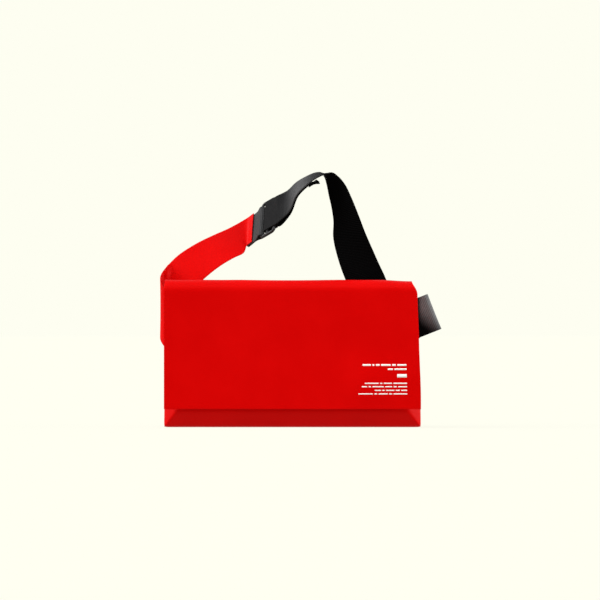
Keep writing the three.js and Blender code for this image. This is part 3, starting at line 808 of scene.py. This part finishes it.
def half_turn(start, arriving, fold_line, side, radius, steps):
    """Stations of a half turn about a fold line, moving by twice the radius towards side."""
    cosine = arriving.dot(fold_line)
    forward = (arriving - fold_line * cosine).normalized()
    sine = math.sqrt(1 - cosine * cosine)
    stations = []
    for i in range(steps + 1):
        turn = math.pi * i / steps
        middle = start + fold_line * (cosine / sine * radius * turn)
        middle += forward * (radius * math.sin(turn)) + side * (radius * (1 - math.cos(turn)))
        stations.append(station(middle, fold_line, HALF_STRAP / sine))
    return stations


def ribbon(name, stations, step, columns, thickness, rib_pitch=0.0, rib_height=0.0, crown=0.0, painted_highlight=None):
    """A band through its stations. Ribs run across it; crown bends its middle off the flat.
    The last argument is a function of a point of the band: how much painted highlight, a lit grey with sheen,
    lies there, from 0 to 1."""
    middles = through([s[0] for s in stations], 24)
    edges = through([s[0] + s[1] for s in stations], 24)
    both = np.array([[*m, *e] for m, e in zip(middles, edges)])
    lengths = np.concatenate([[0], np.cumsum(np.linalg.norm(np.diff(both[:, :3], axis=0), axis=1))])
    even = np.linspace(0, lengths[-1], max(3, round(lengths[-1] / step) + 1))
    both = np.stack([np.interp(even, lengths, both[:, k]) for k in range(6)], axis=1)
    middles, reach = both[:, :3], both[:, 3:] - both[:, :3]
    tangents = np.gradient(middles, axis=0)
    normals = np.cross(tangents, reach)
    normals /= np.linalg.norm(normals, axis=1)[:, None]
    shares = np.linspace(-1, 1, columns)
    ribs = rib_height * np.sin(math.tau * even / rib_pitch) if rib_pitch else np.zeros(len(even))
    rows, places = [], []
    for i, length in enumerate(even):
        lift = ribs[i] + crown * (1 - shares ** 2)
        rows.append(middles[i] + shares[:, None] * reach[i] + lift[:, None] * normals[i])
        places += [(length, share * HALF_STRAP, 0) for share in shares]
    band = from_grids(name, [rows])
    lay_out(band, places)
    if painted_highlight:
        # The painted highlight is stored on the points as a mask.
        mask = band.data.attributes.new("wear_and_painted_sheen", "FLOAT", "POINT")
        mask.data.foreach_set("value", [painted_highlight(Vector(point)) for row in rows for point in row])
    thicken(band, thickness)
    print(f"{name}: {1000 * lengths[-1]:.0f} mm long")
    return band, float(lengths[-1])


# %% [markdown]
# ## The slider and where it hangs
# The slider is a flat frame with three bars. It hangs in the strap at a slant: its own directions
# are along the strap, across it and out of its face. The loop that ties it to the coated half hangs
# from its left bar and swings a little out of the slider's plane.

# %% The slider's directions
slider_low, slider_high = (Vector(p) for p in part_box("slider"))
SLIDER_MIDDLE = (slider_low + slider_high) / 2
ACROSS = Vector((0.05, 0.65, 0.758)).normalized()
ALONG = Vector((1, -0.72, 0.6))
ALONG = (ALONG - ACROSS * ALONG.dot(ACROSS)).normalized()
OUT = ALONG.cross(ACROSS).normalized()
BAR = 4 * MM
LAYER = 3.0 * MM  # middle of the webbing that lies on the slider
SLIDE = 1.9 * MM  # the webbing has slid to the slider's upper end, and the loop to its lower end
SLOT = 8 * MM
BAR_LINE = SLOT + BAR
LOOP_SWING = math.radians(8)
webbing_middle = SLIDER_MIDDLE + ACROSS * SLIDE
loop_bar = SLIDER_MIDDLE - ACROSS * SLIDE - ALONG * BAR_LINE
LOOP_ALONG = ALONG * math.cos(LOOP_SWING) + OUT * math.sin(LOOP_SWING)
LOOP_OUT = LOOP_ALONG.cross(ACROSS).normalized()
print("slider middle:", tuple(round(1000 * c, 1) for c in SLIDER_MIDDLE), "mm")


def on_slider(a, o):
    return station(webbing_middle + ALONG * a + OUT * o, ACROSS)


def on_loop(a, o):
    return station(loop_bar + LOOP_ALONG * a + LOOP_OUT * o, ACROSS)


# %% [markdown]
# The slider is moulded, so every edge of it is rounded. A flat curve object does that well: one
# outline and two slots as closed curves, filled between them, with a depth and a round bevel.


# %% Build the slider
SLIDER_LENGTH = 61.4 * MM
SLIDER_WIDTH = 3 * BAR + 2 * SLOT
SLOT_LENGTH = 54.4 * MM
ROUNDING = 1.25 * MM


def rounded_rectangle(curve, centre, half_a, half_b, radius):
    spline = curve.splines.new("POLY")
    points = []
    corners = ((1, 1, 0), (-1, 1, 90), (-1, -1, 180), (1, -1, 270))
    for sign_a, sign_b, turn in corners:
        middle = (centre + sign_a * (half_a - radius), sign_b * (half_b - radius))
        points += arc(middle, radius, turn, turn + 90, 6)
    spline.points.add(len(points) - 1)
    for point, (a, b) in zip(spline.points, points):
        point.co = (a, b, 0, 1)
    spline.use_cyclic_u = True


slider_curve = bpy.data.curves.new("slider", "CURVE")
slider_curve.dimensions = "2D"
slider_curve.fill_mode = "BOTH"
slider_curve.extrude = 2 * MM - ROUNDING
slider_curve.bevel_depth = ROUNDING
slider_curve.bevel_resolution = 3
outer_a, outer_b = SLIDER_WIDTH / 2 - ROUNDING, SLIDER_LENGTH / 2 - ROUNDING
rounded_rectangle(slider_curve, 0, outer_a, outer_b, 6 * MM)
slot_a, slot_b = SLOT / 2 + ROUNDING, SLOT_LENGTH / 2 + ROUNDING
for sign in (-1, 1):
    rounded_rectangle(slider_curve, sign * (SLOT + BAR) / 2, slot_a, slot_b, 2.6 * MM)
drawing = bpy.data.objects.new("slider_drawing", slider_curve)
scene.collection.objects.link(drawing)
graph = bpy.context.evaluated_depsgraph_get()
slider_mesh = bpy.data.meshes.new_from_object(drawing.evaluated_get(graph))
bpy.data.objects.remove(drawing)
slider_frame = Matrix((ALONG, ACROSS, OUT)).transposed().to_4x4()
slider_frame.translation = SLIDER_MIDDLE
slider_mesh.transform(slider_frame)
work = bmesh.new()
work.from_mesh(slider_mesh)
bmesh.ops.remove_doubles(work, verts=work.verts, dist=0.01 * MM)
bmesh.ops.recalc_face_normals(work, faces=work.faces)
work.to_mesh(slider_mesh)
work.free()
slider_mesh.shade_smooth()
moulded_slider = bpy.data.objects.new("moulded_slider", slider_mesh)
scene.collection.objects.link(moulded_slider)
dress(moulded_slider, slider_plastic)
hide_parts("slider")
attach(moulded_slider, "strap")
print(f"slider: {1000 * SLIDER_WIDTH:.0f} mm by {1000 * SLIDER_LENGTH:.1f} mm, {len(slider_mesh.polygons)} faces")

# %% [markdown]
# ## The coated half of the strap
# It is sewn to the back of the bag, rises to the left, folds over at the bag's edge and climbs to
# the slider. It is one mesh.

# %% Build the coated strap
BACKWARDS = Vector((0, 1, 0))
UP = Vector((0, 0, 1))
STRAP_COAT = 1.0 * MM
STAND_OFF = 0.8 * MM
FOLD_RADIUS = 9 * MM
red_rise = math.radians(50)
red_leaves = Vector((-math.cos(red_rise), 0, math.sin(red_rise)))
red_across = Vector((math.sin(red_rise), 0, math.cos(red_rise)))
fold_run = math.pi * FOLD_RADIUS * math.tan(red_rise)
fold_start = Vector((
    -HALF_WIDTH - 6 * MM + FOLD_RADIUS + STRAP_COAT / 2,
    BACK + STRAP_COAT / 2 + STAND_OFF,
    TOP - 33 * MM - fold_run / 2,
))
LAP = 2.95 * MM  # the coated strap lies this far over the middle of the webbing loop


def over_bag(x, behind, rise, across):
    """A station written in millimetres: along the bag, behind its back and over its top."""
    return station((x * MM, BACK + behind * MM, TOP + rise * MM), across)


red_stations = [
    station(fold_start - red_leaves * (74 * MM), red_across),
    station(fold_start - red_leaves * (37 * MM), red_across),
    station(fold_start - red_leaves * (6 * MM), UP, HALF_STRAP / math.cos(red_rise)),
    *half_turn(fold_start, red_leaves, UP, BACKWARDS, FOLD_RADIUS, 6),
    over_bag(-147, 22, 9, (-16, 8, 17)),
    over_bag(-135, 25, 21, (-16, 9, 15.5)),
    over_bag(-113, 33, 37, (-15.3, 12, 14.6)),
    over_bag(-93, 41, 48, (-14.5, 14, 14.5)),
    over_bag(-74, 50, 57, (-9, 16, 16.5)),
    on_loop(-26 * MM, LAP),
    on_loop(-16 * MM, LAP),
]
red_strap, red_length = ribbon("coated_strap", red_stations, 2 * MM, 17, STRAP_COAT, crown=0.5 * MM)
dress(red_strap, coated_fabric)
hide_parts("red_strap_anchored", "red_strap_free")
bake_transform(red_strap)

# %% [markdown]
# ## The webbing half
# The webbing comes up through the slider, over its middle bar, and arches over the bag. It comes
# down behind the right half of the bag, folds, makes a loop past the bag's edge and ends sewn to the
# back. It is one mesh too, with its ribs as real relief.

# %% Build the webbing
RIB_PITCH = 2.2 * MM
RIB_HEIGHT = 0.11 * MM
SLIDER_X = SLIDER_MIDDLE.x / MM
turn_stations = [on_slider(a * MM, -LAYER) for a in (15.5, 9, 3)]
turn_stations += [on_slider(a, o) for a, o in arc((-BAR / 2, 0), LAYER, 270, 90, 6)]
turn_stations += [on_slider(a * MM, LAYER) for a in (3, 8, 13, 18)]


def past_slider(past, behind, rise, across):
    return over_bag(SLIDER_X + past, behind, rise, across)


arch_stations = [
    past_slider(26.5, 33, 109, (-1, 20.5, 14)),
    past_slider(37.4, 34, 125.5, (0, 23.4, 8.7)),
    past_slider(50.5, 36, 136, (0, 24.3, 6)),
    past_slider(62.9, 37.5, 143, (-0.3, 24.7, 4)),
    past_slider(71.9, 38, 145.5, (-1.5, 24.8, 1.6)),
    past_slider(79.4, 38, 144, (-4.5, 24.4, -2.4)),
    past_slider(85.5, 38, 136, (-7.5, 23.5, -4.8)),
    past_slider(91.5, 36.5, 123, (-10.6, 22, -7)),
    past_slider(96.9, 35, 108, (-12.8, 21, -6.4)),
    past_slider(103, 33, 86.5, (-16, 18.6, -4.5)),
    past_slider(107.6, 31, 64.3, (-21.1, 13, -1.4)),
    past_slider(112.5, 29, 48, (-23.5, 8, -1.5)),
    past_slider(121.9, 25, 22, (-24, 2, -5)),
]
LEG_RADIUS, RING_RADIUS = 4.6 * MM, 5.4 * MM
leg_fall, ring_rise = math.radians(67), math.radians(21.7)
leg_down = Vector((math.cos(leg_fall), 0, -math.sin(leg_fall)))
ring_out = Vector((math.cos(ring_rise), 0, math.sin(ring_rise)))
ring_across = Vector((-math.sin(ring_rise), 0, math.cos(ring_rise)))
leg_fold_line = -(leg_down + ring_out).normalized()
ring_depth = BACK + WEBBING / 2 + STAND_OFF + 2 * RING_RADIUS
leg_depth = ring_depth + 2 * LEG_RADIUS
ring_start = Vector((HALF_WIDTH + 18 * MM, ring_depth, TOP - 38 * MM)) - ring_out * RING_RADIUS
leg_start = Vector(((SLIDER_X + 131) * MM, leg_depth, TOP + 1 * MM))
to_ring = ring_start - leg_start
crossing = leg_down.x * ring_out.z - leg_down.z * ring_out.x
leg_run = (to_ring.x * ring_out.z - to_ring.z * ring_out.x) / crossing
fold_cosine = leg_down.dot(leg_fold_line)
fold_advance = math.pi * LEG_RADIUS * fold_cosine / math.sqrt(1 - fold_cosine ** 2)
leg_fold_start = leg_start + leg_down * leg_run - leg_fold_line * (fold_advance / 2)
leg_across = Vector((-math.sin(leg_fall), 0, -math.cos(leg_fall)))
ring_turn = half_turn(ring_start, ring_out, ring_across, -BACKWARDS, RING_RADIUS, 8)
ring_end = ring_turn[-1][0]
webbing_stations = [
    *turn_stations,
    *arch_stations,
    station(leg_start, leg_across),
    station(leg_start + leg_down * (leg_run / 2), leg_across),
    *half_turn(leg_fold_start, leg_down, leg_fold_line, -BACKWARDS, LEG_RADIUS, 6),
    station(ring_start - ring_out * (24 * MM), ring_across),
    *ring_turn,
    station(ring_end - ring_out * (5 * MM), ring_across),
    station(ring_end - ring_out * (34 * MM), ring_across),
    station(ring_end - ring_out * (68 * MM), ring_across),
]


def webbing_painted_highlight(point):
    """Painted highlight, a lit grey: on the slider's side of the arch, most of all where it bends, and on the
    ring at the side.
    """
    x, z = point.x / MM, point.z / MM
    if z > 196:
        return smooth(47, 33, x) * (0.07 + 0.32 * math.exp(-(((x - 10) / 14) ** 2)))
    return 0.95 * smooth(166, 172, x) * smooth(2, 33, z - 128 + 0.7 * (x - 174))


webbing_band, webbing_length = ribbon(
    "webbing_band", webbing_stations, RIB_PITCH / 4, 11, WEBBING, RIB_PITCH, RIB_HEIGHT, 0.3 * MM, webbing_painted_highlight
)
dress(webbing_band, webbing_black)
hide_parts("webbing_free", "webbing_anchored")
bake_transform(webbing_band)

# %% [markdown]
# ## The tie and the tail
# A short piece of webbing goes round the slider's left bar, and both its layers are sewn behind the
# coated strap. The tail is the webbing's free end. It comes out under the slider, follows the arch
# on its inner side, and ends in a hem that is turned back and sewn.


# %% Build the tie round the slider's bar
PINCH = 0.85 * MM
TIE_RADIUS = 3.9 * MM
tie_stations = [on_loop(a * MM, PINCH) for a in (-28, -20, -10)]
tie_stations += [on_loop(a, o) for a, o in arc((0, 0), TIE_RADIUS, 108, -108, 10)]
tie_stations += [on_loop(a * MM, -PINCH) for a in (-10, -20, -28)]
# The whole tie gets an even painted highlight, a lit grey.
tie, tie_length = ribbon(
    "slider_tie", tie_stations, RIB_PITCH / 4, 11, WEBBING, RIB_PITCH, RIB_HEIGHT, painted_highlight=lambda point: 0.28
)
dress(tie, webbing_black)
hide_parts("slider_loop")
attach(tie, "strap")

# %% Build the tail and its hem
TAIL_START = 17 * MM
TAIL_HEM = 12 * MM
HEM_GAP = 0.25 * MM
# How far the tail's front edge is under the arch, in millimetres, and by how much its back edge sags.
TAIL_HANG = ((3.6, 0), (2.5, 3), (2.2, 8), (2.2, 13))
tail_stations = [on_slider(TAIL_START, -LAYER), on_slider(TAIL_START + 6 * MM, -LAYER)]
for i, (gap, sag) in enumerate(TAIL_HANG):
    middle, across = arch_stations[i]
    before = turn_stations[-1][0] if i == 0 else arch_stations[i - 1][0]
    inward = across.cross(arch_stations[i + 1][0] - before).normalized()
    turn = math.radians(sag)
    reach = across * math.cos(turn) + inward * (HALF_STRAP * math.sin(turn))
    tail_stations.append((middle - across + inward * (gap * MM) + reach, reach))
end_middle, end_reach = tail_stations[-1]
end_run = (end_middle - tail_stations[-2][0]).normalized()
tail, tail_length = ribbon("webbing_tail_end", tail_stations, RIB_PITCH / 4, 11, WEBBING, RIB_PITCH, RIB_HEIGHT)
dress(tail, webbing_black)
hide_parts("webbing_tail")
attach(tail, "tail")
hem_stations = []
last_step = end_middle - tail_stations[-2][0]
for back in (TAIL_HEM, TAIL_HEM / 2, 0):
    share = back / last_step.length
    reach = end_reach.lerp(tail_stations[-2][1], share)
    under = reach.cross(end_run).normalized() * (WEBBING + 2 * RIB_HEIGHT + HEM_GAP)
    hem_stations.append((end_middle - last_step * share + under, reach))
hem_fold, hem_length = ribbon("tail_hem_fold", hem_stations, RIB_PITCH / 4, 11, WEBBING, RIB_PITCH, RIB_HEIGHT)
dress(hem_fold, webbing_black)
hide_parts("tail_hem")
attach(hem_fold, "tail")

# %% [markdown]
# ## The seams of the strap
# Each sewn end is held by a box of stitches with a cross in it. The thread matches the cloth.


# %% Sew the strap's ends
def stitched_box(middle, along, across, length, width, out):
    """The four sides and two diagonals of a sewn box, as lines for the stitching helper."""
    corners = [
        middle + along * (a * length / 2) + across * (b * width / 2)
        for a, b in ((-1, -1), (1, -1), (1, 1), (-1, 1))
    ]
    pairs = ((0, 1), (1, 2), (2, 3), (3, 0), (0, 2), (1, 3))
    return [([corners[a], corners[b]], out) for a, b in pairs]


BOX, INSET = 38 * MM, 5 * MM
box_middle = BOX / 2 + INSET
box_width = 2 * (HALF_STRAP - INSET)
red_end = red_stations[0][0] + red_leaves * box_middle + BACKWARDS * (STRAP_COAT / 2 + 0.5 * MM)
sew(
    "coated_strap_box", stitched_box(red_end, red_leaves, red_across, BOX, box_width, BACKWARDS),
    red_thread, "pouch", "red_strap_stitching",
)
web_end = webbing_stations[-1][0] + ring_out * box_middle + BACKWARDS * (WEBBING / 2 + 0.45 * MM)
sew(
    "webbing_box", stitched_box(web_end, ring_out, ring_across, BOX, box_width, BACKWARDS),
    black_thread, "pouch", "webbing_stitching",
)

# %% [markdown]
# ## The print
# The flap carries a small block of white print at its lower right. Here it is a generic block of
# plain bars, without letters or marks. The bars are thin layers of ink that follow the flap.

# %% Print the bars
PRINT_RIGHT = 151.8 * MM
# Height over the base, thickness of the bar and the lengths of its pieces, in millimetres.
PRINT_ROWS = (
    (82.4, 2.3, (11, 2.5, 5, 13, 5, 12.5)),
    (76.9, 2.1, (7, 16.5)),
    (68.2, 4.4, (13,)),
    (58.2, 1.5, (18, 3, 11, 18)),
    (53.7, 1.5, (7, 3, 15, 9, 4, 12)),
    (48.9, 1.5, (8, 3, 11, 5, 8)),
    (44.2, 1.5, (19, 3.5, 12, 4, 18)),
)
WORD_GAP = 2.0


def print_bar(x_low, x_high, z_middle, thickness):
    xs = np.linspace(x_low, x_high, max(3, round((x_high - x_low) / MM) + 1))
    zs = np.linspace(z_middle - thickness / 2, z_middle + thickness / 2, 3)
    return [[on_sheet(x, face_y, z) - Vector((0, COAT / 2 + 0.06 * MM, 0)) for x in xs] for z in zs]


bars = []
for z, thickness, lengths in PRINT_ROWS:
    right = PRINT_RIGHT
    for length in reversed(lengths):
        bars.append(print_bar(right - length * MM, right, z * MM, thickness * MM))
        right -= (length + WORD_GAP) * MM
print_block = from_grids("print_block", bars)
thicken(print_block, 0.1 * MM, softened_rim=False)
dress(print_block, print_ink)
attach(print_block, "flap")
print(f"print: {len(bars)} plain bars")
